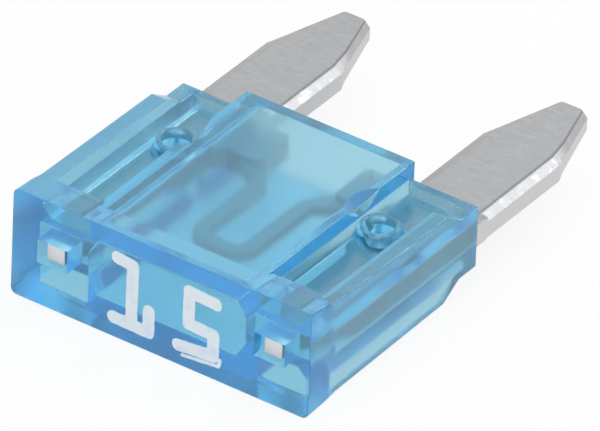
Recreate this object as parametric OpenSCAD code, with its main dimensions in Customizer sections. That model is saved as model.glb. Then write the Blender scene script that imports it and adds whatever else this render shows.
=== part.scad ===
// Mini blade fuse, lying on its broad face.
// X runs across the two blades, +Y from the printed face towards the blade tips, +Z is up.
// The origin is under the middle of the whole fuse, on the surface it lies on.

/* [Housing] */
// Width of the housing across the two blades
body_w = 10.92; // [10.8:0.02:11.4]
// Length of the housing from the printed face to the blade end
body_l = 8.8; // [8.4:0.1:9.6]
// Thickness of the head at its printed face
head_t = 3.8; // [3.6:0.05:4.4]
// Thickness of the head where its gentle slope ends
head_shoulder_t = 3.58; // [3.56:0.02:3.64]
// Distance from the printed face to the end of the gentle slope
head_shoulder_y = 0.95; // [0.7:0.05:1.1]
// Length of the head, from the printed face to the start of the rims and channels
head_l = 1.42; // [1.3:0.02:1.8]
// Radius of the four long corners of the head
head_corner_r = 0.2; // [0.1:0.05:0.4]

/* [Side rims] */
// Width of each side rim
rim_w = 0.56; // [0.5:0.02:0.7]
// Thickness over the rims where they leave the head
rim_t = 3.3; // [3.2:0.02:3.4]
// Thickness over the rims at the top of their ramp
rim_end_t = 3.14; // [3:0.02:3.2]
// Length of the ramp from the rims down to the end flange
ramp_l = 0.8; // [0.5:0.05:1.2]
// Length of the thin flange at the blade end
flange_l = 0.9; // [0.6:0.05:1.2]
// Thickness of the flange
flange_t = 2.18; // [2:0.02:2.6]

/* [Raised panel] */
// Distance from the side of the housing to the raised panel on each broad face
panel_inset = 2.36; // [2.3:0.02:2.4]
// Thickness over the two raised panels, which come out of the slope of the head
panel_t = 3.52; // [3.44:0.02:3.6]
// Wall between the broad face of a panel and the link chamber
panel_wall = 0.76; // [0.5:0.02:0.9]
// Plastic between the side of a panel and the link chamber, where the chamber is widest
chamber_side_wall = 0.2; // [0.15:0.01:0.3]
// Width of each leaning flank of the link chamber
chamber_flank = 0.35; // [0.2:0.05:0.9]
// Plastic between the printed face and the link chamber
chamber_front = 0.7; // [0.5:0.05:1.1]

/* [Channels and stakes] */
// Plastic between a channel floor and the terminal slot under it
channel_web = 0.28; // [0.2:0.02:0.4]
// Thickness of the wall that closes a channel at the blade end
channel_end_wall = 0.28; // [0.2:0.02:0.5]
// Distance from the side of the housing to the middle of a stake
stake_inset = 1.71; // [1.6:0.01:1.8]
// Distance from the printed face to the middle of a stake
stake_y = 6.05; // [5.5:0.05:6.4]
// Diameter at its foot of the collar of plastic that the hot stake pushed up
collar_d = 1.6; // [1.45:0.05:1.7]
// Diameter of the collar at its top
collar_top_d = 1.3; // [1.2:0.05:1.4]
// Height of the collar above the channel floor
collar_h = 0.5; // [0.3:0.05:0.6]
// Diameter of the crater in the top of the collar
crater_d = 1.06; // [0.9:0.02:1.12]
// Diameter of the bottom of the crater
crater_floor_d = 0.5; // [0.4:0.05:0.7]
// Depth of the crater below the top of the collar
crater_depth = 0.7; // [0.4:0.05:0.75]
// Diameter of the plastic pin that a stake pushes through its terminal
stake_pin_d = 1.1; // [1:0.05:1.2]

/* [Test pockets] */
// Width of each test pocket in the printed face
pocket_w = 1.1; // [0.8:0.05:1.4]
// Height of each test pocket
pocket_h = 0.8; // [0.6:0.02:0.86]
// Depth of each test pocket, from the printed face to the end of the terminal's tab
pocket_depth = 0.62; // [0.4:0.02:0.9]
// Distance from the side of the housing to the middle of a test pocket
pocket_inset = 1.48; // [1.3:0.02:1.7]

/* [Blades] */
// Length of the whole fuse, from the printed face to the blade tips
overall_l = 16; // [15.4:0.1:17]
// Distance from the side of the housing to the middle line of a blade
blade_inset = 1.43; // [1.42:0.01:1.5]
// Width of a blade
blade_w = 2.8; // [2.6:0.05:2.85]
// Thickness of the blades and terminals
blade_t = 0.8; // [0.6:0.02:0.9]
// Length of a blade's tapered end
taper_l = 2.6; // [1.5:0.1:3.5]
// Width of a blade at the end of its taper
tip_w = 1.22; // [0.9:0.02:1.6]
// Height of the rounded end beyond the taper
tip_bulge = 0.16; // [0.06:0.02:0.4]
// Width of the coined bevels along a blade's edges
bevel_w = 0.3; // [0.15:0.05:0.4]
// Depth of the coined bevel along a blade's straight edges
bevel_h = 0.16; // [0.08:0.02:0.24]
// Depth of the coined bevel along the tapered edges
taper_bevel_h = 0.19; // [0.09:0.02:0.25]
// Plain length of a blade between the housing and its bevels
bevel_gap = 0.4; // [0.1:0.05:1]

/* [Terminals] */
// Plastic outside each terminal, at the side of the housing
side_wall = 0.45; // [0.36:0.01:0.54]
// Plastic between the printed face and the terminal slots
slot_front = 1.58; // [1.2:0.02:1.9]
// Inner edge of a terminal's foot, from the middle of the fuse
foot_x = 1.4; // [1.25:0.05:2]
// Distance from the printed face to the edge of the foot that the link leaves
foot_y = 7; // [6.9:0.05:7.6]
// Corner radius of the foot
foot_r = 0.2; // [0.05:0.05:0.3]

/* [Link] */
// Width of the fusible link
link_w = 0.5; // [0.3:0.02:0.7]
// Thickness of the fusible link
link_t = 0.36; // [0.2:0.02:0.6]
// Distance between the middles of the link's two legs
link_pitch = 1.74; // [1.4:0.02:2]
// Distance from the printed face to the outside of the link's bend
link_y = 2.7; // [1.6:0.1:4]
// Distance from the printed face to the point where a leg turns out to its foot
leg_end_y = 6.3; // [5.5:0.05:6.6]
// Inside radius of the link's bend
link_r = 0.25; // [0.1:0.05:0.4]

/* [Fit] */
// Clearance between a terminal and the plastic around it
slot_clearance = 0.04; // [0.02:0.01:0.08]
// Clearance between a stake pin and its hole, on the radius
pin_clearance = 0.04; // [0.02:0.01:0.08]

/* [Hidden] */
$fn = 96;

// Extra length that lets a cut pass cleanly through a surface
over = 1;
// Overlap that joins two solids of one piece
join = 0.02;

part_t = max(head_t, panel_t);
blade_pitch = body_w - 2 * blade_inset;
panel_w = body_w - 2 * panel_inset;
chamber_w = panel_w - 2 * chamber_side_wall;
chamber_roof_w = chamber_w - 2 * chamber_flank;
stake_x = body_w / 2 - stake_inset;
pocket_x = body_w / 2 - pocket_inset;
ramp_end_y = body_l - flange_l;
ramp_y = ramp_end_y - ramp_l;
slot_t = blade_t + 2 * slot_clearance;
slot_x = body_w / 2 - side_wall;
channel_floor = slot_t / 2 + channel_web;
channel_x = body_w / 2 - rim_w;
collar_top = channel_floor + collar_h;
chamber_t = panel_t - 2 * panel_wall;
terminal_y = slot_front + slot_clearance;
tab_w = pocket_w - 2 * slot_clearance;
tab_t = pocket_h - 2 * slot_clearance;
terminal_in = blade_pitch / 2 - blade_w / 2;
terminal_out = slot_x - slot_clearance;
slot_in = terminal_in - slot_clearance;
taper_y = overall_l - tip_bulge - taper_l;
taper_end_y = overall_l - tip_bulge;
taper_inset = (blade_w - tip_w) / 2;
taper_angle = atan(taper_inset / taper_l);
tip_r = (pow(tip_w / 2, 2) + pow(tip_bulge, 2)) / (2 * tip_bulge);
leg_in = link_pitch / 2 - link_w / 2;
leg_out = link_pitch / 2 + link_w / 2;

// Moves the fuse from its drawing place, printed face at Y = 0 and middle at Z = 0, to where it lies
module laid_down() {
    translate([0, -overall_l / 2, part_t / 2]) children();
}

// A shape and its mirror image on the other side of the fuse
module both_sides() {
    children();
    mirror([1, 0, 0]) children();
}

// A shape and its mirror image on the other broad face
module both_faces() {
    children();
    mirror([0, 0, 1]) children();
}

// Extrudes an outline drawn in Y and Z along X, about the middle
module across(width) {
    rotate([90, 0, 90]) linear_extrude(width, center = true) children();
}

// Extrudes an outline drawn in X and Z along Y, from one distance to another
module lengthwise(from, to) {
    translate([0, to, 0]) rotate([90, 0, 0]) linear_extrude(to - from) children();
}

// Rectangle about the middle with round corners
module round_rect(width, height, r) {
    square([width - 2 * r, height], center = true);
    square([width, height - 2 * r], center = true);
    for (x = [-1, 1], y = [-1, 1])
        translate([x * (width / 2 - r), y * (height / 2 - r)]) circle(r);
}

// Outline of the housing seen from its side: sloping head, drafted rims, ramp and thin flange
module side_outline() {
    half = [
        [0, head_t / 2],
        [head_shoulder_y, head_shoulder_t / 2],
        [head_l, rim_t / 2],
        [ramp_y, rim_end_t / 2],
        [ramp_end_y, flange_t / 2],
        [body_l, flange_t / 2],
    ];
    mirrored = [for (i = [len(half) - 1 : -1 : 0]) [half[i][0], -half[i][1]]];
    polygon(concat(half, mirrored));
}

// Housing without its hollows
module outer_block() {
    intersection() {
        across(body_w) side_outline();
        lengthwise(0, body_l) round_rect(body_w, head_t, head_corner_r);
    }
    lengthwise(head_shoulder_y / 2, body_l) square([panel_w, panel_t], center = true);
}

// Channel beside the raised panel, open towards the broad face
module channel() {
    translate([panel_w / 2, head_l, channel_floor])
        cube([channel_x - panel_w / 2, body_l - channel_end_wall - head_l, part_t]);
}

// Collar that the hot stake raises on a channel floor
module stake_collar() {
    translate([stake_x, stake_y, channel_floor - join])
        cylinder(h = collar_h + join, d1 = collar_d, d2 = collar_top_d);
}

// Crater that the hot stake leaves in the collar
module crater() {
    translate([stake_x, stake_y, collar_top - crater_depth])
        cylinder(h = crater_depth, d1 = crater_floor_d, d2 = crater_d);
    translate([stake_x, stake_y, collar_top - join]) cylinder(h = over, d = crater_d);
}

// Chamber for the link: flat roof and floor, with flanks that lean in to the terminal slots
module chamber_outline() {
    polygon([
        [-chamber_w / 2, slot_t / 2], [-chamber_roof_w / 2, chamber_t / 2],
        [chamber_roof_w / 2, chamber_t / 2], [chamber_w / 2, slot_t / 2],
        [chamber_w / 2, -slot_t / 2], [chamber_roof_w / 2, -chamber_t / 2],
        [-chamber_roof_w / 2, -chamber_t / 2], [-chamber_w / 2, -slot_t / 2],
    ]);
}

// Everything that the moulding core leaves open, from the blade end inwards
module core() {
    lengthwise(chamber_front, body_l + over) chamber_outline();
    both_sides()
        translate([slot_in, slot_front, -slot_t / 2])
            cube([slot_x - slot_in, body_l + over - slot_front, slot_t]);
}

// Pockets that run in to the terminal slots, through which a probe reaches the tabs
module test_pockets() {
    both_sides()
        translate([pocket_x, 0, 0])
            lengthwise(-over, slot_front + join) square([pocket_w, pocket_h], center = true);
}

module housing() {
    color([0.42, 0.68, 0.86]) laid_down() {
        difference() {
            union() {
                difference() {
                    outer_block();
                    both_faces() both_sides() channel();
                }
                both_faces() both_sides() stake_collar();
            }
            difference() {
                core();
                both_sides() translate([stake_x, stake_y, 0])
                    cylinder(h = slot_t + over, d = stake_pin_d, center = true);
            }
            both_faces() both_sides() crater();
            test_pockets();
        }
    }
}

// Outline of one blade about its own centreline, with its shoulder on the end of the housing
module blade_outline() {
    polygon([
        [-blade_w / 2, body_l], [blade_w / 2, body_l], [blade_w / 2, taper_y],
        [tip_w / 2, taper_end_y], [tip_w / 2, overall_l], [-tip_w / 2, overall_l],
        [-tip_w / 2, taper_end_y], [-blade_w / 2, taper_y],
    ]);
}

// Waste outside the rounded end of a blade
module tip_waste() {
    difference() {
        translate([-blade_w / 2, taper_end_y, -blade_t]) cube([blade_w, tip_bulge + over, 2 * blade_t]);
        translate([0, overall_l - tip_r, -over]) cylinder(h = 2 * over, r = tip_r);
    }
}

// Pair of wedges that coin the bevels of an edge running along Y at X = 0, with the metal at negative X
module coining(from, to, depth) {
    slope = depth / bevel_w;
    for (face = [-1, 1])
        lengthwise(from, to) polygon([
            [-bevel_w, face * blade_t / 2],
            [over, face * (blade_t / 2 - depth - slope * over)],
            [over, face * (blade_t / 2 + over)],
            [-bevel_w, face * (blade_t / 2 + over)],
        ]);
}

module blade() {
    difference() {
        linear_extrude(blade_t, center = true) blade_outline();
        tip_waste();
        for (turn = [0, 180]) rotate([0, turn, 0]) {
            translate([blade_w / 2, 0, 0]) coining(body_l + bevel_gap, overall_l + over, bevel_h);
            translate([blade_w / 2, taper_y, 0]) rotate([0, 0, taper_angle])
                coining(-over, taper_l + over, taper_bevel_h);
        }
    }
}

// Narrow tab in front of a terminal, which ends in a test pocket
module test_tab() {
    translate([pocket_x, 0, 0])
        lengthwise(pocket_depth, terminal_y + join) square([tab_w, tab_t], center = true);
}

// Flat part of a terminal inside the housing, with the foot that carries the link
module terminal() {
    difference() {
        linear_extrude(blade_t, center = true) {
            translate([terminal_in, terminal_y])
                square([terminal_out - terminal_in, body_l - terminal_y + join]);
            translate([foot_x + foot_r, foot_y])
                square([terminal_in - foot_x - foot_r + join, body_l - foot_y]);
            translate([foot_x, foot_y + foot_r])
                square([foot_r + join, body_l - foot_y - 2 * foot_r]);
            for (y = [foot_y + foot_r, body_l - foot_r])
                translate([foot_x + foot_r, y]) circle(foot_r);
        }
        translate([stake_x, stake_y, 0])
            cylinder(h = blade_t + over, r = stake_pin_d / 2 + pin_clearance, center = true);
    }
}

// Half of the thin link: one leg of the hairpin and its turn out to the foot
module link_half() {
    bend_r = link_r + link_w;
    translate([leg_in, link_y + bend_r]) square([link_w, leg_end_y - link_y - bend_r]);
    translate([leg_in - link_r, link_y + bend_r]) intersection() {
        difference() {
            circle(bend_r);
            circle(link_r);
        }
        translate([0, -bend_r]) square(bend_r);
    }
    translate([-join, link_y]) square([leg_in - link_r + 2 * join, link_w]);
    polygon([
        [leg_in, leg_end_y - join], [leg_out, leg_end_y - join],
        [foot_x + foot_r + link_w, foot_y + join], [foot_x + join, foot_y + foot_r + link_w],
    ]);
}

module fuse_element() {
    color([0.72, 0.73, 0.75]) laid_down() {
        for (side = [-1, 1]) translate([side * blade_pitch / 2, 0, 0]) blade();
        both_sides() {
            terminal();
            test_tab();
            linear_extrude(link_t, center = true) link_half();
        }
    }
}

housing();
fuse_element();
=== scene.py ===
# %% [markdown]
# # A mini blade fuse
#
# The real object has two pieces: a clear blue moulded housing and one stamped metal element,
# whose two blades stick out of the housing. On its face the housing carries a printed rating.
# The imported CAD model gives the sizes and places. This lesson gives each surface the form and
# finish that the photograph shows.

# %% The frame and its units
import math

import bmesh
import bpy
from mathutils import Matrix, Vector, noise
from mathutils.geometry import delaunay_2d_cdt


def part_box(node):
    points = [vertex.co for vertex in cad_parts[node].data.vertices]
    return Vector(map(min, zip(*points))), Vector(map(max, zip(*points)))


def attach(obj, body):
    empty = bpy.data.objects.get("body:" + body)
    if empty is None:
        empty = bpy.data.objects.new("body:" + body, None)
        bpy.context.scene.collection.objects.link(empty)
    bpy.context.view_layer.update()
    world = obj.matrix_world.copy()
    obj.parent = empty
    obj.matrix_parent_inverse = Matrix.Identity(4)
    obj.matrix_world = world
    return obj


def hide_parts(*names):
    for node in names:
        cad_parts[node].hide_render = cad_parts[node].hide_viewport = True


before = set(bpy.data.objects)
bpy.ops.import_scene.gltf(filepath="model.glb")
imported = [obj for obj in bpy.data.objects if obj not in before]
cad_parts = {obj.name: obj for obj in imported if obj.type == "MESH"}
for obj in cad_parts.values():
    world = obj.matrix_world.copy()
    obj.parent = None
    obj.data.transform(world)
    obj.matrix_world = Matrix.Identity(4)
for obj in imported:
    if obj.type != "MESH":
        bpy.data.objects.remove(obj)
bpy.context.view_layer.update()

MM = 0.001
housing_low, housing_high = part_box("housing")
element_low, element_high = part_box("fuse_element")
FACE_Y = housing_low.y
END_Y = housing_high.y
MID_Z = (element_low.z + element_high.z) / 2
print("housing", [round(v / MM, 2) for v in housing_high - housing_low], "mm")
print("middle of the thickness at", round(MID_Z / MM, 3), "mm")


def add_object(name, data):
    """Object with the data given, linked into the scene."""
    obj = bpy.data.objects.new(name, data)
    bpy.context.scene.collection.objects.link(obj)
    return obj


# %% [markdown]
# ## The camera
#
# The photograph was taken from the front right and from above, with a long lens. The camera
# gets the same viewing angle. Its angles and its scale were worked out from the corners of the
# fuse. They hardly depend on the distance, so that is a round number, and the lens follows from
# the distance and the scale.

# %% A camera at the photograph's angle
PICTURE_WIDTH_PX = 600
VIEW_AZIMUTH = 33.6
VIEW_ELEVATION = 34.04
VIEW_ROLL = 2.58
VIEW_DISTANCE = 420 * MM
VIEW_SCALE_PX = 33.224
SEEN_DEPTH = 6 * MM
AIM_OFFSET = (0.736 * MM, -0.019 * MM)
SENSOR_WIDTH = 36.0


def view_axes(azimuth, elevation, roll):
    """Right, up and backward directions of a camera, from its angles in degrees."""
    a, e, r = (math.radians(v) for v in (azimuth, elevation, roll))
    back = Vector((math.sin(a) * math.cos(e), -math.cos(a) * math.cos(e), math.sin(e)))
    level = Vector((math.cos(a), math.sin(a), 0))
    upright = back.cross(level)
    right = math.cos(r) * level + math.sin(r) * upright
    return right, back.cross(right), back


def add_camera():
    """Camera at the photograph's viewing angle, aimed just beside the housing's middle."""
    right, up, back = view_axes(VIEW_AZIMUTH, VIEW_ELEVATION, VIEW_ROLL)
    seen_point = Vector((0, FACE_Y + SEEN_DEPTH, MID_Z))
    aim = seen_point + AIM_OFFSET[0] * right + AIM_OFFSET[1] * up
    data = bpy.data.cameras.new("camera")
    data.sensor_fit = "HORIZONTAL"
    data.sensor_width = SENSOR_WIDTH
    data.lens = VIEW_SCALE_PX / MM * VIEW_DISTANCE / PICTURE_WIDTH_PX * SENSOR_WIDTH
    data.clip_start = 0.01
    data.clip_end = 10
    camera = add_object("camera", data)
    turn = Matrix((right, up, back)).transposed().to_4x4()
    camera.matrix_world = Matrix.Translation(aim + VIEW_DISTANCE * back) @ turn
    bpy.context.scene.camera = camera
    return camera


camera = add_camera()
print("lens", round(camera.data.lens), "mm")

# %% [markdown]
# ## Building materials out of nodes
#
# Every finish below is a small network of nodes. A few helpers keep them readable: they add a
# node and fill its inputs, do one step of arithmetic, blend between two values, or turn a
# height into relief. A link goes in where a value would, so a network reads from the inside
# out, like a formula.

# %% Helpers for node networks
def add_node(tree, kind, inputs=(), **settings):
    """A node with its settings and its inputs, each of which is a value or another socket."""
    node = tree.nodes.new(kind)
    for name, value in settings.items():
        setattr(node, name, value)
    for key, value in dict(inputs).items():
        if isinstance(value, bpy.types.NodeSocket):
            tree.links.new(value, node.inputs[key])
        else:
            node.inputs[key].default_value = value
    return node


def arithmetic(tree, operation, *values, clamp=False):
    """One step of arithmetic on numbers or sockets."""
    inputs = dict(enumerate(values))
    return add_node(tree, "ShaderNodeMath", inputs, operation=operation, use_clamp=clamp).outputs[0]


def blend(tree, share, low, high):
    """A value that goes from low to high as the share goes from 0 to 1."""
    return add_node(tree, "ShaderNodeMapRange", {
        "Value": share, "To Min": low, "To Max": high}).outputs["Result"]


def add_relief(tree, height, strength, depth):
    """Normals that show a height from 0 to 1 as relief of a small depth in metres."""
    return add_node(tree, "ShaderNodeBump", {
        "Height": height, "Strength": strength, "Distance": depth}).outputs[0]


def new_material(name):
    """Material with an empty network and its output node."""
    material = bpy.data.materials.new(name)
    material.use_nodes = True
    material.node_tree.nodes.clear()
    return material, material.node_tree, material.node_tree.nodes.new("ShaderNodeOutputMaterial")


# %% [markdown]
# ## The studio
#
# The photograph is a catalogue picture: soft light from everywhere and a white ground. The
# world is therefore a plain white surround. What the camera, reflections and the view through
# the plastic meet is pure white, while the light that falls on dull surfaces is held lower, so
# that pale metal doesn't clip. The floor is seen through the plastic mostly where the fuse
# shades it, so there it is less white.
#
# Four lamps give the edges their highlights: a broad one above, a soft one at the right, one
# behind and a low one in front. Light that the plastic bends doesn't meet them, because a lamp
# seen through clear plastic shows as a glaring streak.
#
# Light that is held inside the plastic turns back many times. With the usual limits its path
# ends too early and the solid head turns black, so the limits are raised.

# %% World, floor and lamps
MOST_TURNS = 32
TURNS_IN_PLASTIC = 28
SURROUND_LIGHT = 0.64
FLOOR_COLOR = (0.95, 0.95, 0.95, 1)
FLOOR_WHITENESS = 0.88
FLOOR_HALF = 0.5
SHADED_WHITE = 0.7
# Name, place and size in metres, and power in watts
LAMPS = (
    ("broad_top", (0.0, 0.02, 0.12), (0.12, 0.12), 0.03),
    ("soft_right", (0.12, -0.04, 0.07), (0.06, 0.08), 0.02),
    ("rim_back", (0.031, 0.104, 0.104), (0.05, 0.05), 0.04),
    ("low_front", (0.02, -0.13, 0.05), (0.08, 0.06), 0.025),
)

bpy.context.scene.view_settings.view_transform = "Standard"
light_paths = bpy.context.scene.cycles
light_paths.max_bounces = MOST_TURNS
light_paths.glossy_bounces = TURNS_IN_PLASTIC
light_paths.transmission_bounces = TURNS_IN_PLASTIC


def seen_directly(tree):
    """1 for rays that show a surface as it is: seen directly, reflected or through plastic."""
    path = add_node(tree, "ShaderNodeLightPath")
    direct = arithmetic(
        tree, "MAXIMUM", path.outputs["Is Camera Ray"], path.outputs["Is Glossy Ray"])
    return arithmetic(tree, "MAXIMUM", direct, path.outputs["Is Transmission Ray"])


def add_world():
    """Plain white surround that lights dull surfaces at a lower level."""
    world = bpy.data.worlds.new("studio")
    bpy.context.scene.world = world
    world.use_nodes = True
    tree = world.node_tree
    tree.nodes.clear()
    strength = blend(tree, seen_directly(tree), SURROUND_LIGHT, 1.0)
    surround = add_node(tree, "ShaderNodeBackground", {"Color": (1, 1, 1, 1), "Strength": strength})
    add_node(tree, "ShaderNodeOutputWorld", {"Surface": surround.outputs[0]})


def add_floor():
    """Pale floor that looks almost white and keeps a soft shadow."""
    mesh = bpy.data.meshes.new("floor")
    corners = [(x * FLOOR_HALF, y * FLOOR_HALF, 0) for x, y in ((-1, -1), (1, -1), (1, 1), (-1, 1))]
    mesh.from_pydata(corners, [], [(0, 1, 2, 3)])
    floor = add_object("floor", mesh)
    material, tree, output = new_material("floor")
    paper = add_node(tree, "ShaderNodeBsdfDiffuse", {"Color": FLOOR_COLOR})
    through = add_node(tree, "ShaderNodeLightPath").outputs["Is Transmission Ray"]
    strength = blend(tree, through, 1.0, SHADED_WHITE)
    white = add_node(tree, "ShaderNodeEmission", {"Strength": strength})
    share = arithmetic(tree, "MULTIPLY", seen_directly(tree), FLOOR_WHITENESS)
    look = add_node(tree, "ShaderNodeMixShader", {
        0: share, 1: paper.outputs[0], 2: white.outputs[0]})
    tree.links.new(look.outputs[0], output.inputs["Surface"])
    mesh.materials.append(material)


def add_lamp(name, place, size, power):
    """Rectangular lamp that points at the middle of the fuse and isn't seen through plastic."""
    data = bpy.data.lights.new(name, "AREA")
    data.shape = "RECTANGLE"
    data.size, data.size_y = size
    data.energy = power
    lamp = add_object(name, data)
    lamp.location = place
    away = Vector(place) - Vector((0, 0, MID_Z))
    lamp.rotation_euler = away.to_track_quat("Z", "Y").to_euler()
    lamp.visible_transmission = False


add_world()
add_floor()
for lamp_settings in LAMPS:
    add_lamp(*lamp_settings)

# %% [markdown]
# ## Handled surfaces
#
# Both the plastic and the metal have been handled. A shader node group holds what the two
# share, fine grain and faint scuffs, and each material sets its own size and strength. A group
# is built once and placed in every material, so a change to it reaches them all.

# %% A node group for handled surfaces
SCUFF_EDGE = (0.5, 0.72)


def make_handled_group():
    """Group that puts out a scuff mask and a surface height, from the object's coordinates."""
    tree = bpy.data.node_groups.new("handled_surface", "ShaderNodeTree")
    for name, start in (("Grain Scale", 2000.0), ("Scuff Scale", 500.0), ("Stretch", 1.0)):
        socket = tree.interface.new_socket(name, in_out="INPUT", socket_type="NodeSocketFloat")
        socket.default_value = start
    for name in ("Scuffs", "Height"):
        tree.interface.new_socket(name, in_out="OUTPUT", socket_type="NodeSocketFloat")
    given = tree.nodes.new("NodeGroupInput")
    place = add_node(tree, "ShaderNodeTexCoord").outputs["Object"]
    split = add_node(tree, "ShaderNodeSeparateXYZ", {0: place})
    along = arithmetic(tree, "MULTIPLY", split.outputs["Y"], given.outputs["Stretch"])
    drawn = add_node(tree, "ShaderNodeCombineXYZ", {
        0: split.outputs["X"], 1: along, 2: split.outputs["Z"],
    }).outputs[0]
    grain = add_node(tree, "ShaderNodeTexNoise", {
        "Vector": drawn, "Scale": given.outputs["Grain Scale"], "Detail": 3.0, "Roughness": 0.6,
    }).outputs["Fac"]
    scuff_noise = add_node(tree, "ShaderNodeTexNoise", {
        "Vector": place, "Scale": given.outputs["Scuff Scale"], "Detail": 6.0, "Roughness": 0.7,
    }).outputs["Fac"]
    scuffs = add_node(tree, "ShaderNodeMapRange", {
        "Value": scuff_noise, "From Min": SCUFF_EDGE[0], "From Max": SCUFF_EDGE[1],
    }, interpolation_type="SMOOTHSTEP").outputs["Result"]
    add_node(tree, "NodeGroupOutput", {"Scuffs": scuffs, "Height": grain})
    return tree


handled_group = make_handled_group()
print("group", handled_group.name, [item.name for item in handled_group.interface.items_tree])


def add_handled(tree, grain_scale, scuff_scale, stretch):
    """The handled-surface group placed in a material."""
    return add_node(tree, "ShaderNodeGroup", node_tree=handled_group, inputs={
        "Grain Scale": grain_scale, "Scuff Scale": scuff_scale, "Stretch": stretch})


# %% [markdown]
# ## Tinted plastic
#
# The housing is clear plastic with a blue dye. Its colour depends on how far light travels in
# it: thin walls look pale teal, and where light runs along a wall or through the solid head it
# looks strong blue. That is absorption inside the volume, so the material has a Volume
# Absorption node and no painted colour. The real plastic is also slightly milky, which fills the
# dark reflections of perfectly clear glass. A part of each surface is therefore dull and pale
# blue, and the clear part is a little rough. The outer sides are duller than the rest, as a
# mould with tool marks leaves them, so they get a roughness of their own. Lamps shine through
# by a transparent shader that only shadow rays meet.

# %% The plastic's material
PLASTIC_TINT = (0.57, 0.90, 1.0, 1)
PLASTIC_CLARITY = 0.95
PLASTIC_IOR = 1.52
PLASTIC_GRAIN = (900.0, 420.0, 1.0)
PLASTIC_RELIEF = (0.12, 0.03 * MM)
PLASTIC_ROUGHNESS = (0.15, 0.21)
SIDE_ROUGHNESS = 0.3
SIDE_X = 5.45
DYE_COLOR = (0.0, 0.75, 0.99, 1)
DYE_DENSITY = 345.0
LAMP_TINT = (0.72, 0.9, 0.97, 1)


def make_plastic():
    """Clear plastic with a blue dye, slightly milky, through which the lamps shine."""
    material, tree, output = new_material("tinted_plastic")
    handled = add_handled(tree, *PLASTIC_GRAIN)
    roughness = blend(tree, handled.outputs["Scuffs"], *PLASTIC_ROUGHNESS)
    place = add_node(tree, "ShaderNodeTexCoord").outputs["Object"]
    from_middle = arithmetic(
        tree, "ABSOLUTE", add_node(tree, "ShaderNodeSeparateXYZ", {0: place}).outputs["X"])
    on_side = arithmetic(tree, "GREATER_THAN", from_middle, SIDE_X * MM)
    finish = blend(tree, on_side, roughness, SIDE_ROUGHNESS)
    uneven = add_relief(tree, handled.outputs["Height"], *PLASTIC_RELIEF)
    body = add_node(tree, "ShaderNodeBsdfPrincipled", {
        "Base Color": PLASTIC_TINT, "Roughness": finish, "IOR": PLASTIC_IOR,
        "Transmission Weight": PLASTIC_CLARITY, "Normal": uneven,
    })
    for_lamps = add_node(tree, "ShaderNodeBsdfTransparent", {"Color": LAMP_TINT})
    path = add_node(tree, "ShaderNodeLightPath")
    surface = add_node(tree, "ShaderNodeMixShader", {
        0: path.outputs["Is Shadow Ray"], 1: body.outputs[0], 2: for_lamps.outputs[0],
    })
    dye = add_node(tree, "ShaderNodeVolumeAbsorption", {"Color": DYE_COLOR, "Density": DYE_DENSITY})
    tree.links.new(surface.outputs[0], output.inputs["Surface"])
    tree.links.new(dye.outputs[0], output.inputs["Volume"])
    return material


plastic = make_plastic()
print("material", plastic.name)

# %% [markdown]
# ## Plated metal
#
# The element is stamped from sheet zinc alloy with a dull plating. Its flats show the fine
# lines of the rolled strip, which run across the blades, so the grain is drawn out that way.
# The scuffs are polished, and so they are slightly brighter and smoother than the rest. Along
# the line where a bevel starts, the metal is darkened as painted shade, which stands in for the
# dark line that shading gives there. The blades carry that line as an attribute, and an
# Attribute node reads it.

# %% The metal's material
METAL_DULL = (0.35, 0.36, 0.375, 1)
METAL_BRIGHT = (0.455, 0.46, 0.465, 1)
# Painted shade for the line where a bevel starts
METAL_CREASE_SHADE = (0.19, 0.195, 0.205, 1)
METAL_GRAIN = (2000.0, 2400.0, 4.0)
METAL_RELIEF = (0.35, 0.02 * MM)
METAL_ROUGHNESS = (0.46, 0.36)
METAL_SHARE = 0.85
GRAIN_CONTRAST, GRAIN_OFFSET = 1.2, -0.2
SCUFF_SHINE = 0.4


def make_metal():
    """Dull plated sheet metal with rolling lines, brighter scuffs and painted shade at the creases.
    """
    material, tree, output = new_material("plated_metal")
    handled = add_handled(tree, *METAL_GRAIN)
    rolled = arithmetic(
        tree, "MULTIPLY_ADD", handled.outputs["Height"], GRAIN_CONTRAST, GRAIN_OFFSET)
    shine = arithmetic(
        tree, "MULTIPLY_ADD", handled.outputs["Scuffs"], SCUFF_SHINE, rolled, clamp=True)
    color = add_node(tree, "ShaderNodeValToRGB", {"Fac": shine})
    color.color_ramp.elements[0].color = METAL_DULL
    color.color_ramp.elements[1].color = METAL_BRIGHT
    roughness = blend(tree, handled.outputs["Scuffs"], *METAL_ROUGHNESS)
    lines = add_relief(tree, handled.outputs["Height"], *METAL_RELIEF)
    # The crease attribute mixes in the painted shade colour along the start of each bevel
    crease_shade = add_node(tree, "ShaderNodeAttribute", attribute_name="crease_shade").outputs["Fac"]
    shade = add_node(tree, "ShaderNodeMix", {
        0: crease_shade, 6: color.outputs["Color"], 7: METAL_CREASE_SHADE}, data_type="RGBA").outputs[2]
    body = add_node(tree, "ShaderNodeBsdfPrincipled", {
        "Base Color": shade, "Metallic": METAL_SHARE, "Roughness": roughness, "Normal": lines})
    tree.links.new(body.outputs[0], output.inputs["Surface"])
    return material


metal = make_metal()
print("material", metal.name)

# %% [markdown]
# ## Bare metal
#
# The press shears the strip after plating, so the sides of the blades are bare and finely torn.
# They look paler and duller than the flats. The ends of the tabs, which a test probe touches,
# are bare too, and their colour is paler still as painted light, which lifts them out of the
# shade at the bottom of the test pockets. One network serves both, and a test on each face of a
# piece says where the bare metal goes.

# %% Where the press sheared the strip
SHEARED_COLOR = (0.62, 0.615, 0.615, 1)
# Bare metal made paler as painted light, for the tab ends shaded in the pockets
PROBED_PAINTED_LIGHT_COLOR = (0.79, 0.75, 0.74, 1)
BARE_GRAIN = (3000.0, 3000.0, 1.0)
BARE_RELIEF = (0.4, 0.02 * MM)
BARE_SHARE, BARE_ROUGHNESS = 0.2, 0.55


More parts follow.
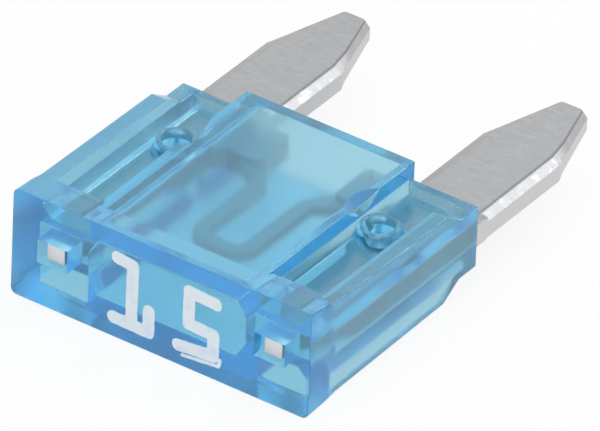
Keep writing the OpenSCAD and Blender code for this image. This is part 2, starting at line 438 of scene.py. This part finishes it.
def make_bare(name, color):
    """Bare, finely torn metal."""
    material, tree, output = new_material(name)
    handled = add_handled(tree, *BARE_GRAIN)
    torn = add_relief(tree, handled.outputs["Height"], *BARE_RELIEF)
    body = add_node(tree, "ShaderNodeBsdfPrincipled", {
        "Base Color": color, "Metallic": BARE_SHARE, "Roughness": BARE_ROUGHNESS, "Normal": torn})
    tree.links.new(body.outputs[0], output.inputs["Surface"])
    return material


def bare_where(obj, material, is_bare):
    """Gives the faces of an object that pass a test its second material, the bare metal."""
    obj.data.materials.append(material)
    for face in obj.data.polygons:
        if is_bare(face):
            face.material_index = 1


sheared = make_bare("sheared_metal", SHEARED_COLOR)
probed_lightened = make_bare("probed_metal_painted_light", PROBED_PAINTED_LIGHT_COLOR)
print("materials", sheared.name, probed_lightened.name)

# %% [markdown]
# ## Solids for the housing
#
# A moulded housing is a block with things taken away, so it is made as a toolmaker would cut
# it: prisms and rings give each solid, and Boolean modifiers join or cut them. The alternative,
# bevelling a copy of the CAD mesh, leaves slivers at the head's corners. Sizes are in
# millimetres, measured from the printed face and from the middle of the thickness. Apart from
# the foot of the channels they are those of the CAD source.

# %% Helpers for solids
def at_face(x, y, z):
    """A place in metres, from millimetres about the middle of the printed face."""
    return Vector((x * MM, FACE_Y + y * MM, MID_Z + z * MM))


def solid_from_shell(name, shell):
    """Object with the form of a finished shell, whose faces are turned outwards first."""
    bmesh.ops.recalc_face_normals(shell, faces=shell.faces)
    mesh = bpy.data.meshes.new(name)
    shell.to_mesh(mesh)
    shell.free()
    return add_object(name, mesh)


def solid_from_rings(name, rings):
    """Closed solid through rings of points, with its first and last ring filled."""
    shell = bmesh.new()
    loops = [[shell.verts.new(at_face(*point)) for point in ring] for ring in rings]
    for near, far in zip(loops, loops[1:]):
        for k in range(len(near)):
            n = (k + 1) % len(near)
            shell.faces.new((near[k], near[n], far[n], far[k]))
    shell.faces.new(loops[0])
    shell.faces.new(loops[-1])
    return solid_from_shell(name, shell)


def box(name, low, high):
    """Box between two corners."""
    (x0, y0, z0), (x1, y1, z1) = low, high
    return solid_from_rings(name, [
        [(x0, y, z0), (x1, y, z0), (x1, y, z1), (x0, y, z1)] for y in (y0, y1)])


def round_turned(name, x, y, steps, segments=40):
    """Turned solid on an upright axis, from pairs of a height and a radius."""
    rings = []
    for height, radius in steps:
        angles = [2 * math.pi * k / segments for k in range(segments)]
        rings.append([
            (x + radius * math.cos(a), y + radius * math.sin(a), height) for a in angles])
    return solid_from_rings(name, rings)


def apply_modifiers(obj):
    """Turns an object's modifiers into plain mesh."""
    depsgraph = bpy.context.evaluated_depsgraph_get()
    mesh = bpy.data.meshes.new_from_object(obj.evaluated_get(depsgraph))
    obj.modifiers.clear()
    obj.data = mesh


def combine(body, operation, tools):
    """Joins each tool to the body or cuts it away, and removes the tool."""
    for tool in tools:
        step = body.modifiers.new("combine", "BOOLEAN")
        step.operation = operation
        step.solver = "EXACT"
        step.object = tool
        apply_modifiers(body)
        bpy.data.objects.remove(tool)
    return body


# %% [markdown]
# ## The outer form
#
# The outer block is one loft through rounded rectangles: a head that gets thinner away from
# the face, two rims, and a ramp down to a thin flange. The corners are rounder on the head than
# on the rims. The raised panel is a plain block that comes out of the slope of the head.

# %% The outer block
HOUSING_W = 10.92
HOUSING_L = 8.8
HEAD_L = 1.42
STATIONS = (
    (0, 3.8, 0.22), (0.95, 3.58, 0.14), (HEAD_L, 3.3, 0.06), (7.1, 3.14, 0.06),
    (7.9, 2.18, 0.06), (HOUSING_L, 2.18, 0.06),
)
PANEL_W, PANEL_T, PANEL_Y = 6.2, 3.52, 0.5


def rounded_ring(y, width, height, radius, steps=4):
    """Rounded rectangle across the fuse at one distance from the face."""
    ring = []
    for side_x, side_z, start in ((1, 1, 0), (-1, 1, 90), (-1, -1, 180), (1, -1, 270)):
        for k in range(steps + 1):
            a = math.radians(start + 90 * k / steps)
            ring.append((
                side_x * (width / 2 - radius) + radius * math.cos(a), y,
                side_z * (height / 2 - radius) + radius * math.sin(a)))
    return ring


block = solid_from_rings("housing_body", [
    rounded_ring(y, HOUSING_W, thickness, radius) for y, thickness, radius in STATIONS])
panel = box("panel", (-PANEL_W / 2, PANEL_Y, -PANEL_T / 2), (PANEL_W / 2, HOUSING_L, PANEL_T / 2))
housing = combine(block, "UNION", [panel])
print("outer block", len(housing.data.polygons), "faces")

# %% [markdown]
# ## Channels and hollows
#
# A channel runs beside the panel on each broad face. On its outer side it ends in a sloping
# foot, which shows as a light band along the rim. The core of the mould leaves a chamber for
# the link and a slot for each terminal.

# %% Cutting the housing
CHANNEL_X, CHANNEL_FLOOR, CHANNEL_END = 4.9, 0.72, 8.52
CHANNEL_TOP = 3.0
FOOT_X, FOOT_TOP = 4.52, 1.09
CHANNEL_OUTLINE = (
    (PANEL_W / 2, CHANNEL_FLOOR), (FOOT_X, CHANNEL_FLOOR), (CHANNEL_X, FOOT_TOP),
    (CHANNEL_X, CHANNEL_TOP), (PANEL_W / 2, CHANNEL_TOP),
)
STAKE_X, STAKE_Y = 3.75, 6.05
SLOT_IN, SLOT_OUT, SLOT_FRONT, SLOT_HALF = 2.59, 5.01, 1.58, 0.44
CHAMBER_FRONT = 0.7
CHAMBER_OUTLINE = ((2.9, 0.44), (2.55, 1.0), (-2.55, 1.0), (-2.9, 0.44),
                   (-2.9, -0.44), (-2.55, -1.0), (2.55, -1.0), (2.9, -0.44))
PIN_R = 0.55
PAST = 1.0
QUARTERS = [(side, face) for side in (-1, 1) for face in (-1, 1)]


def cut_channels(body):
    """The four channels beside the panels."""
    combine(body, "DIFFERENCE", [
        solid_from_rings("channel", [
            [(side * x, y, face * z) for x, z in CHANNEL_OUTLINE] for y in (HEAD_L, CHANNEL_END)])
        for side, face in QUARTERS])


def make_core():
    """What the core of the mould leaves open: the chamber and two slots, round the stake pins."""
    core = solid_from_rings("core", [
        [(x, y, z) for x, z in CHAMBER_OUTLINE] for y in (CHAMBER_FRONT, HOUSING_L + PAST)])
    combine(core, "UNION", [
        box("slot", (min(side * SLOT_IN, side * SLOT_OUT), SLOT_FRONT, -SLOT_HALF),
            (max(side * SLOT_IN, side * SLOT_OUT), HOUSING_L + PAST * 0.9, SLOT_HALF))
        for side in (-1, 1)])
    combine(core, "DIFFERENCE", [
        round_turned("pin", side * STAKE_X, STAKE_Y, [(-PAST, PIN_R), (PAST, PIN_R)])
        for side in (-1, 1)])
    return core


cut_channels(housing)
combine(housing, "DIFFERENCE", [make_core()])
print("housing cut", len(housing.data.polygons), "faces")

# %% [markdown]
# ## Soft edges
#
# No moulded edge is perfectly sharp, and on clear plastic the rounding matters more than on
# any other material, because each edge acts as a thin lens and shows as a light line. A Bevel
# modifier rounds every edge that turns by more than a set angle. The curved parts are made of
# facets that turn less than that, so it leaves them alone.

# %% Rounding the moulded edges
MOULDED_EDGE_R = 0.042
SHARP_TURN = 28
SHADED_TURN = SHARP_TURN + 7
FLAT_TURN = 0.5


def soften(obj, radius, segments=3):
    """Rounds an object's sharp edges and shades the rest smoothly."""
    shell = bmesh.new()
    shell.from_mesh(obj.data)
    bmesh.ops.remove_doubles(shell, verts=shell.verts, dist=0.001 * MM)
    bmesh.ops.dissolve_limit(
        shell, angle_limit=math.radians(FLAT_TURN), verts=shell.verts, edges=shell.edges)
    for face in shell.faces:
        face.smooth = True
    shell.to_mesh(obj.data)
    shell.free()
    rounding = obj.modifiers.new("rounding", "BEVEL")
    rounding.width = radius * MM
    rounding.segments = segments
    rounding.limit_method = "ANGLE"
    rounding.angle_limit = math.radians(SHARP_TURN)
    rounding.use_clamp_overlap = False
    apply_modifiers(obj)


def level_normals(obj):
    """Makes the large faces look flat by giving them the most weight in the shading."""
    obj.data.set_sharp_from_angle(angle=math.radians(SHADED_TURN))
    leveller = obj.modifiers.new("leveller", "WEIGHTED_NORMAL")
    leveller.keep_sharp = True
    apply_modifiers(obj)


def stand_in_for(obj, material, node):
    """Gives a finished piece its material, and says what it rides on and replaces."""
    obj.data.materials.clear()
    obj.data.materials.append(material)
    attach(obj, "root")
    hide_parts(node)


soften(housing, MOULDED_EDGE_R)
print("housing softened", len(housing.data.polygons), "faces")

# %% [markdown]
# ## The stakes and the test pockets
#
# In each channel stands a low collar with a crater, where a hot tool pushed the plastic through
# a hole in the terminal. Two small pockets in the face let a test probe touch the terminals.
# Collars and pockets lie so close to other edges that a Bevel modifier would fold there. They
# are made after it and carry the rounding of their rims in their own outline.

# %% Test pockets
POCKET_X, POCKET_HALF_W, POCKET_HALF_H = 3.98, 0.55, 0.4
POCKET_OUTLINE = (
    (-PAST, 0.04), (0.0, 0.04), (0.012, 0.012), (0.04, 0.0), (SLOT_FRONT + 0.05, 0.0))


def pocket_ring(side, y, wider):
    """Outline of a test pocket at one distance from the face."""
    half_w, half_h = POCKET_HALF_W + wider, POCKET_HALF_H + wider
    return [(side * POCKET_X + i * half_w, y, k * half_h)
            for i, k in ((-1, -1), (1, -1), (1, 1), (-1, 1))]


combine(housing, "DIFFERENCE", [
    solid_from_rings("pocket", [pocket_ring(side, *station) for station in POCKET_OUTLINE])
    for side in (-1, 1)])
print("pockets", 2 * POCKET_HALF_W, "x", 2 * POCKET_HALF_H, "mm")

# %% Collars and craters
COLLAR_TOP = CHANNEL_FLOOR + 0.5
COLLAR_OUTLINE = (
    (CHANNEL_FLOOR - 0.05, 0.81), (CHANNEL_FLOOR + 0.03, 0.765), (COLLAR_TOP - 0.14, 0.685),
    (COLLAR_TOP - 0.06, 0.655), (COLLAR_TOP - 0.015, 0.62), (COLLAR_TOP, 0.575),
)
CRATER_OUTLINE = (
    (COLLAR_TOP - 0.7, 0.2), (COLLAR_TOP - 0.66, 0.26), (COLLAR_TOP - 0.12, 0.44),
    (COLLAR_TOP - 0.05, 0.475), (COLLAR_TOP - 0.012, 0.51), (COLLAR_TOP + 0.001, 0.56),
    (COLLAR_TOP + PAST, 1.56),
)


def stake(name, side, face, outline):
    """Turned solid at one of the four stakes."""
    steps = [(face * z, radius) for z, radius in outline]
    return round_turned(name, side * STAKE_X, STAKE_Y, steps)


combine(housing, "UNION", [stake("collar", *quarter, COLLAR_OUTLINE) for quarter in QUARTERS])
combine(housing, "DIFFERENCE", [stake("crater", *quarter, CRATER_OUTLINE) for quarter in QUARTERS])
level_normals(housing)
stand_in_for(housing, plastic, "housing")
print("housing", len(housing.data.polygons), "faces")

# %% [markdown]
# ## The blades
#
# Both blades follow one rule: a strip of constant width, a straight taper and a rounded end,
# with its long edges pressed to a bevel. A Geometry Nodes tree makes such a blade from named
# inputs. It starts with a flat grid, and each point's row says how far along the blade it lies
# and each column how far across. The press leaves a rough start to the bevel and an uneven
# width, so noise with a fixed seed moves the bevel's height, and the two blades differ.
#
# On the taper the bevel is narrower. On the straight part the lower bevel is shallower than the
# upper one. The line where a bevel starts is stored as an attribute that the metal's material
# darkens as painted shade, and it is faint on the -X side of each blade.

# %% A Geometry Nodes tree for a blade
BLADE_ROWS = 145
BLADE_COLUMNS = 33
STRAIGHT_SHARE = 0.5
TAPER_SHARE = 0.85
FLAT_SHARE = 0.625
TIP_TURN = math.radians(87)
TIP_POWER = 0.55
TIP_WORN_FROM, TIP_WEAR, TIP_WEAR_POWER = 0.93, 0.09, 1.5
NARROWING_RATE, TAPER_BEVEL_SHARE = 3.0, 0.65
WIDEST_BEVEL_SHARE = 0.6
PRESS_RUN = 0.22
CRUSH_FADE, CRUSH_RUN = 0.75, 1.4
WAVE_HEIGHT = 0.008
# Width of the painted crease shade, and its strength on the -X side
CREASE_SHARPNESS, FAINT_CREASE_SHADE = 6.0, 0.12
UNDER_RATE = 3.0
SEAM = 0.0005
BLADE_INPUTS = (
    ("Centre", 4.03), ("Start", 8.8), ("Taper Start", 13.24), ("Taper End", 15.88),
    ("Tip Bulge", 0.12), ("Width", 2.8), ("Tip Width", 1.22), ("Thickness", 0.8),
    ("Bevel Start", 9.2), ("Bevel Width", 0.3), ("Bevel Depth", 0.16), ("Taper Bevel Depth", 0.19),
    ("Crush", 0.08), ("Under Share", 0.3), ("Seed", 1.0),
)


def make_blade_tree():
    """Node tree that makes one closed blade, in metres, from sizes in millimetres."""
    tree = bpy.data.node_groups.new("coined_blade", "GeometryNodeTree")
    for name, start in BLADE_INPUTS:
        socket = tree.interface.new_socket(name, in_out="INPUT", socket_type="NodeSocketFloat")
        socket.default_value = start
    tree.interface.new_socket("Material", in_out="INPUT", socket_type="NodeSocketMaterial")
    tree.interface.new_socket("Geometry", in_out="OUTPUT", socket_type="NodeSocketGeometry")
    size = tree.nodes.new("NodeGroupInput").outputs

    def step(operation, *values, clamp=False):
        return arithmetic(tree, operation, *values, clamp=clamp)

    def share_between(value, low, high):
        """0 up to the low value, 1 from the high value on, and even in between."""
        return step("DIVIDE", step("SUBTRACT", value, low), high - low, clamp=True)

    def blend_by(share, low, high):
        return step("ADD", low, step("MULTIPLY", share, step("SUBTRACT", high, low)))

    def rough(scale_x, scale_y, seed_shift):
        """Noise from -0.5 to 0.5 over the blade."""
        spot = add_node(tree, "ShaderNodeCombineXYZ", {
            0: step("MULTIPLY", across, scale_x), 1: step("MULTIPLY", along, scale_y), 2: 0.0})
        fac = add_node(tree, "ShaderNodeTexNoise", {
            "Vector": spot.outputs[0], "W": step("ADD", size["Seed"], seed_shift),
            "Scale": 1.0, "Detail": 3.0,
        }, noise_dimensions="4D").outputs[0]
        return step("SUBTRACT", fac, 0.5)

    grid = add_node(tree, "GeometryNodeMeshGrid", {
        "Size X": 2.0, "Size Y": 1.0, "Vertices X": BLADE_COLUMNS, "Vertices Y": BLADE_ROWS})
    cell = add_node(tree, "ShaderNodeSeparateXYZ", {
        0: add_node(tree, "GeometryNodeInputPosition").outputs[0]})
    across = cell.outputs["X"]
    row = step("ADD", cell.outputs["Y"], 0.5)
    in_straight = share_between(row, 0.0, STRAIGHT_SHARE)
    in_taper = share_between(row, STRAIGHT_SHARE, TAPER_SHARE)
    tip_turn = step("MULTIPLY", share_between(row, TAPER_SHARE, 1.0), TIP_TURN)
    along = step("ADD", blend_by(in_straight, size["Start"], size["Taper Start"]), step(
        "ADD", step("MULTIPLY", in_taper, step("SUBTRACT", size["Taper End"], size["Taper Start"])),
        step("MULTIPLY", size["Tip Bulge"], step("SINE", tip_turn))))
    half = step("MULTIPLY", step("POWER", step("COSINE", tip_turn), TIP_POWER), step(
        "MULTIPLY", 0.5, blend_by(in_taper, size["Width"], size["Tip Width"])))
    narrowing = blend_by(
        step("MULTIPLY", NARROWING_RATE, in_taper, clamp=True), 1.0, TAPER_BEVEL_SHARE)
    bevel_width = step(
        "MINIMUM", step("MULTIPLY", size["Bevel Width"], narrowing),
        step("MULTIPLY", half, WIDEST_BEVEL_SHARE))
    from_middle = step("ABSOLUTE", across)
    in_flat = share_between(from_middle, 0.0, FLAT_SHARE)
    in_bevel = share_between(from_middle, FLAT_SHARE, 1.0)
    x = step("MULTIPLY", step("SIGN", across), step(
        "ADD", step("MULTIPLY", in_flat, step("SUBTRACT", half, bevel_width)),
        step("MULTIPLY", in_bevel, bevel_width)))

    past_start = step("SUBTRACT", along, step("ADD", size["Bevel Start"], rough(9.0, 3.0, 0.0)))
    pressed = add_node(tree, "ShaderNodeMapRange", {
        "Value": past_start, "From Min": 0.0, "From Max": PRESS_RUN,
    }, interpolation_type="SMOOTHSTEP")
    crushed = step("SUBTRACT", 1.0, step(
        "MULTIPLY", CRUSH_FADE, step("DIVIDE", past_start, CRUSH_RUN, clamp=True)))
    depth = blend_by(in_taper, size["Bevel Depth"], size["Taper Bevel Depth"])
    ridges = step("MULTIPLY", step("MULTIPLY", size["Crush"], crushed), rough(9.0, 8.0, 20.0))
    drop = step("MULTIPLY", pressed.outputs[0], step(
        "MULTIPLY", in_bevel, step("ADD", depth, step("MULTIPLY", 2.0, ridges))))
    tip_drop = step("MULTIPLY", TIP_WEAR, step(
        "POWER", share_between(row, TIP_WORN_FROM, 1.0), TIP_WEAR_POWER))
    waves = step("MULTIPLY", WAVE_HEIGHT, rough(2.0, 1.2, 40.0))
    z = step("SUBTRACT", step("ADD", step("MULTIPLY", size["Thickness"], 0.5), waves), step(
        "MAXIMUM", drop, tip_drop))

    # Painted shade: a mask along the line where a bevel starts, faint on the -X side
    from_crease = step("DIVIDE", step("SUBTRACT", from_middle, FLAT_SHARE), 1 - FLAT_SHARE)
    shaded_side_share = blend_by(step("GREATER_THAN", across, 0.0), FAINT_CREASE_SHADE, 1.0)
    crease_shade = step("MULTIPLY", step("MULTIPLY", shaded_side_share, pressed.outputs[0]), step(
        "SUBTRACT", 1.0, step("MULTIPLY", CREASE_SHARPNESS, step("ABSOLUTE", from_crease)),
        clamp=True))
    marked = add_node(tree, "GeometryNodeStoreNamedAttribute", {
        "Geometry": grid.outputs["Mesh"], "Name": "crease_shade", "Value": crease_shade,
    }, data_type="FLOAT", domain="POINT").outputs[0]
    top_face = add_node(tree, "GeometryNodeSetPosition", {
        "Geometry": marked,
        "Position": add_node(tree, "ShaderNodeCombineXYZ", {0: x, 1: along, 2: z}).outputs[0],
    }).outputs[0]
    turned = add_node(tree, "GeometryNodeFlipFaces", {"Mesh": top_face}).outputs[0]
    downwards = add_node(tree, "ShaderNodeCombineXYZ", {0: 0.0, 1: 0.0, 2: -1.0}).outputs[0]
    pulled = add_node(tree, "GeometryNodeExtrudeMesh", {
        "Mesh": turned, "Offset": downwards, "Offset Scale": size["Thickness"],
        "Individual": False,
    }, mode="FACES")
    low = add_node(tree, "ShaderNodeSeparateXYZ", {
        0: add_node(tree, "GeometryNodeInputPosition").outputs[0]})
    above = step("ADD", low.outputs["Z"], size["Thickness"])
    pressed_off = step("SUBTRACT", step("MULTIPLY", size["Thickness"], 0.5), above)
    past_taper_start = step("SUBTRACT", low.outputs["Y"], size["Taper Start"])
    in_end = step("MULTIPLY", UNDER_RATE, past_taper_start, clamp=True)
    mirrored_z = step(
        "SUBTRACT", step("MULTIPLY", pressed_off, blend_by(in_end, size["Under Share"], 1.0)),
        step("MULTIPLY", size["Thickness"], 0.5))
    underside = add_node(tree, "GeometryNodeSetPosition", {
        "Geometry": pulled.outputs["Mesh"], "Selection": pulled.outputs["Top"],
        "Position": add_node(tree, "ShaderNodeCombineXYZ", {
            0: low.outputs["X"], 1: low.outputs["Y"], 2: mirrored_z}).outputs[0],
    }).outputs[0]
    both = add_node(tree, "GeometryNodeJoinGeometry")
    tree.links.new(top_face, both.inputs[0])
    tree.links.new(underside, both.inputs[0])
    closed = add_node(tree, "GeometryNodeMergeByDistance", {
        "Geometry": both.outputs[0], "Distance": SEAM}).outputs[0]
    placed = add_node(tree, "GeometryNodeTransform", {
        "Geometry": closed, "Scale": (MM, MM, MM),
        "Translation": add_node(tree, "ShaderNodeCombineXYZ", {
            0: step("MULTIPLY", size["Centre"], MM), 1: FACE_Y, 2: MID_Z}).outputs[0],
    }).outputs[0]
    whole = add_node(tree, "GeometryNodeRealizeInstances", {"Geometry": placed}).outputs[0]
    plated = add_node(tree, "GeometryNodeSetMaterial", {
        "Geometry": whole, "Material": size["Material"]}).outputs[0]
    add_node(tree, "NodeGroupOutput", {"Geometry": plated})
    return tree


blade_tree = make_blade_tree()
print("blade tree", len(blade_tree.nodes), "nodes")

# %% Making the two blades
BLADE_PITCH = 8.06
BLADE_START = (END_Y - FACE_Y) / MM + 0.002
BLADE_SHARP_TURN = 24
SIDE_NORMAL_Z = 0.3


def make_blade(name, centre, seed):
    """One blade as plain mesh, from the tree with its own place and seed."""
    blade = add_object(name, bpy.data.meshes.new(name))
    maker = blade.modifiers.new("blade", "NODES")
    maker.node_group = blade_tree
    values = {"Centre": centre, "Start": BLADE_START, "Seed": seed, "Material": metal}
    for item in blade_tree.interface.items_tree:
        if item.in_out == "INPUT" and item.name in values:
            maker[item.identifier] = values[item.name]
    apply_modifiers(blade)
    for face in blade.data.polygons:
        face.use_smooth = True
    blade.data.set_sharp_from_angle(angle=math.radians(BLADE_SHARP_TURN))
    return blade


for name, side, seed in (("blade_left", -1, 3.0), ("blade_right", 1, 11.0)):
    blade = make_blade(name, side * BLADE_PITCH / 2, seed)
    stand_in_for(blade, metal, "fuse_element")
    bare_where(blade, sheared, lambda face: abs(face.normal.z) < SIDE_NORMAL_Z)
    print(name, len(blade.data.polygons), "faces")

# %% [markdown]
# ## The hidden half of the element
#
# Inside the housing the element goes on as two terminals, their feet and the hairpin link. A
# copy of the CAD mesh is merged and cut off at the end of the housing, where the blades above
# take over. The photograph shows narrower terminals than the CAD mesh has. Each one therefore
# gets a waist beside the link and a shoulder on its outer side, and a narrower tab that ends
# nearer the printed face. After that its edges are slightly rounded.

# %% Terminals, feet and link
STAMPED_EDGE_R = 0.03
TERMINAL_FRONT = 1.65
OLD_TAB_X, OLD_TAB_HALF_W = 4.0, 1.2
WAIST_OUTLINE = (
    (2.4, 1.2), (3.62, 1.2), (3.62, 1.7), (3.3, 2.3), (3.3, 5.0), (2.95, 5.45), (2.95, 6.75),
    (2.6, 7.05), (2.4, 7.05),
)
SHOULDER_OUTLINE = ((4.34, 1.2), (5.2, 1.2), (5.2, 2.7), (5.0, 2.7), (4.34, 1.7))
TAB_START, TAB_HALF_W, TAB_HALF_T = 0.22, 0.32, 0.32


def make_inner_element():
    """Copy of the CAD element, cut off where it leaves the housing."""
    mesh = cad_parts["fuse_element"].data.copy()
    mesh.name = "inner_element"
    shell = bmesh.new()
    shell.from_mesh(mesh)
    bmesh.ops.remove_doubles(shell, verts=shell.verts, dist=0.0005 * MM)
    cut = bmesh.ops.bisect_plane(
        shell, geom=shell.verts[:] + shell.edges[:] + shell.faces[:], dist=0.0001 * MM,
        plane_co=(0, END_Y - 0.001 * MM, 0), plane_no=(0, 1, 0), clear_outer=True)
    rim = [item for item in cut["geom_cut"] if isinstance(item, bmesh.types.BMEdge)]
    bmesh.ops.holes_fill(shell, edges=rim)
    bmesh.ops.recalc_face_normals(shell, faces=shell.faces)
    shell.to_mesh(mesh)
    shell.free()
    return add_object("inner_element", mesh)


def shape_terminals(inner):
    """Gives the terminals their waists, and tabs that reach into the test pockets."""
    combine(inner, "DIFFERENCE", [
        box("old_tab", (side * OLD_TAB_X - OLD_TAB_HALF_W, 0, -PAST),
            (side * OLD_TAB_X + OLD_TAB_HALF_W, TERMINAL_FRONT, PAST))
        for side in (-1, 1)])
    combine(inner, "DIFFERENCE", [
        solid_from_rings("waist", [[(side * x, y, z) for x, y in outline] for z in (-PAST, PAST)])
        for side in (-1, 1) for outline in (WAIST_OUTLINE, SHOULDER_OUTLINE)])
    combine(inner, "UNION", [
        box("tab", (side * POCKET_X - TAB_HALF_W, TAB_START, -TAB_HALF_T),
            (side * POCKET_X + TAB_HALF_W, TERMINAL_FRONT + 0.2, TAB_HALF_T))
        for side in (-1, 1)])


inner_element = make_inner_element()
shape_terminals(inner_element)
soften(inner_element, STAMPED_EDGE_R, segments=2)
level_normals(inner_element)
stand_in_for(inner_element, metal, "fuse_element")
probe_limit = FACE_Y + (TAB_START + STAMPED_EDGE_R) * MM
# The tab ends get the paler bare metal, painted light against the pockets' shade
bare_where(inner_element, probed_lightened, lambda face: face.center.y < probe_limit)
print("inner element", len(inner_element.data.polygons), "faces")

# %% [markdown]
# ## The printed rating
#
# The rating is pad-printed in white ink, in strokes with round ends. Each stroke becomes a
# rounded outline whose edge wanders a little, as ink does. A constrained Delaunay
# triangulation joins all the overlapping outlines of a digit into one flat face, and pulling
# that face out gives the film its real thickness. The film is rooted slightly inside the face,
# so that no gap is left under it. A second, thinner stroke under the 5 is the double print of
# the real fuse. The noise would otherwise start from the clock, so its seed is set, and the
# edges are the same in every run.

# %% Strokes of the digits
STROKE_HALF = 0.215
STROKE_STEP = 0.06
CAP_POINTS, CAP_STEP = 15, 12
INK_THICKNESS = 0.025
INK_ROOT = 0.004
EDGE_WANDER = 0.018
WANDER_SCALE = 6
WANDER_SEED = 1
DIGIT_STROKES = {
    "one": ((STROKE_HALF, ((-1.57, 1.0), (-1.0, 0.94), (-1.0, -1.17))),
            (STROKE_HALF, ((-1.66, -1.17), (-0.37, -1.2), (-0.37, -0.44)))),
    "five": ((STROKE_HALF, ((2.03, 0.83), (1.07, 0.89), (1.07, -0.27), (1.99, -0.3),
                            (1.99, -1.05), (0.72, -1.17))),
             (0.06, ((0.9, -1.47), (2.2, -1.33), (2.26, -1.1)))),
}

noise.seed_set(WANDER_SEED)


def stroke_outline(start, end, half):
    """Outline of one straight stroke with round ends and a slightly wandering edge."""
    start, end = Vector(start), Vector(end)
    direction = (end - start).normalized()
    side = Vector((-direction.y, direction.x))
    count = max(2, round((end - start).length / STROKE_STEP))
    outline = [start.lerp(end, k / count) - side * half for k in range(count)]
    for k in range(CAP_POINTS):
        a = math.radians(-90 + CAP_STEP * k)
        outline.append(end + half * (math.cos(a) * direction + math.sin(a) * side))
    outline += [end.lerp(start, k / count) + side * half for k in range(1, count)]
    for k in range(CAP_POINTS):
        a = math.radians(90 + CAP_STEP * k)
        outline.append(start + half * (math.cos(a) * direction + math.sin(a) * side))
    return [
        point + EDGE_WANDER * Vector(
            noise.noise_vector(Vector((point.x, point.y, half)) * WANDER_SCALE)[:2])
        for point in outline]


def make_digit(name, strokes):
    """Film of ink on the printed face, from strokes given as half widths and paths."""
    points, loops = [], []
    for half, path in strokes:
        for start, end in zip(path, path[1:]):
            outline = stroke_outline(start, end, half)
            loops.append(range(len(points), len(points) + len(outline)))
            points += outline
    flat_points, _, faces, *_ = delaunay_2d_cdt(points, [], [list(loop) for loop in loops], 1, 1e-5)
    shell = bmesh.new()
    verts = [shell.verts.new(at_face(p.x, INK_ROOT, p.y)) for p in flat_points]
    for face in faces:
        shell.faces.new([verts[k] for k in face])
    pulled = bmesh.ops.extrude_face_region(shell, geom=shell.faces[:])
    front = [item for item in pulled["geom"] if isinstance(item, bmesh.types.BMVert)]
    bmesh.ops.translate(shell, verts=front, vec=(0, -(INK_THICKNESS + INK_ROOT) * MM, 0))
    return solid_from_shell(name, shell)


# %% [markdown]
# ## White ink
#
# The ink is dull and a little thin, so the blue plastic cools its white. Fine noise makes the
# film cloudy and gives it the faint texture of the printing pad.

# %% The ink's material and the digits
INK_THICK = (0.77, 0.82, 0.86, 1)
INK_THIN = (0.66, 0.76, 0.86, 1)
INK_THIN_BELOW, INK_THICK_ABOVE = 0.36, 0.52
INK_ROUGHNESS = 0.5
INK_RELIEF = (0.2, 0.02 * MM)
CLOUD_SCALE = 2400.0


def make_ink():
    """Dull white ink, slightly cloudy."""
    material, tree, output = new_material("white_ink")
    place = add_node(tree, "ShaderNodeTexCoord").outputs["Object"]
    cloud = add_node(tree, "ShaderNodeTexNoise", {
        "Vector": place, "Scale": CLOUD_SCALE, "Detail": 4.0}).outputs["Fac"]
    color = add_node(tree, "ShaderNodeValToRGB", {"Fac": cloud})
    color.color_ramp.elements[0].position = INK_THIN_BELOW
    color.color_ramp.elements[0].color = INK_THIN
    color.color_ramp.elements[1].position = INK_THICK_ABOVE
    color.color_ramp.elements[1].color = INK_THICK
    relief = add_relief(tree, cloud, *INK_RELIEF)
    body = add_node(tree, "ShaderNodeBsdfPrincipled", {
        "Base Color": color.outputs["Color"], "Roughness": INK_ROUGHNESS, "Normal": relief})
    tree.links.new(body.outputs[0], output.inputs["Surface"])
    return material


ink = make_ink()
for word, strokes in DIGIT_STROKES.items():
    digit = make_digit("digit_" + word, strokes)
    digit.data.materials.append(ink)
    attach(digit, "root")
    print(digit.name, len(digit.data.polygons), "faces")
